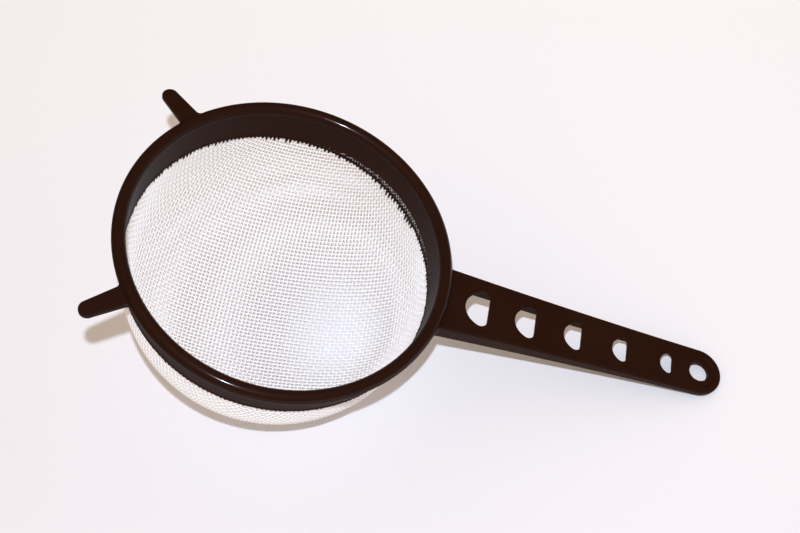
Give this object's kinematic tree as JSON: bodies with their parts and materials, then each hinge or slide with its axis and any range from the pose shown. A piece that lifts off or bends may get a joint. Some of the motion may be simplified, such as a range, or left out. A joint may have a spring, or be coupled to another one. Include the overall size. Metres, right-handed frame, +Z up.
{
  "type": "flour sifter",
  "caption": "Hand-held flour sifter: moulded hoop with a beaded rim, a tapered slotted handle with a hanging hole, two small rest lugs and a deep woven mesh bowl.",
  "frame": {"origin": "On the table under the middle of the bounding box, at its bottom face", "axes": "+X from the bowl along the handle, level with the table; +Y to the left looking along the handle; +Z up. The sifter lies tipped by 22.7 degrees, on the underside of its bowl and the tip of its handle"},
  "size_m": [0.2895, 0.16, 0.1197],
  "materials": {
    "moulding": "glossy dark brown polypropylene moulding",
    "mesh": "white woven nylon monofilament"
  },
  "bodies": {
    "root": {"hoop": "moulding", "handle": "moulding", "rest_lug_left": "moulding", "rest_lug_right": "moulding", "mesh_bowl": "mesh"}
  },
  "joints": []
}
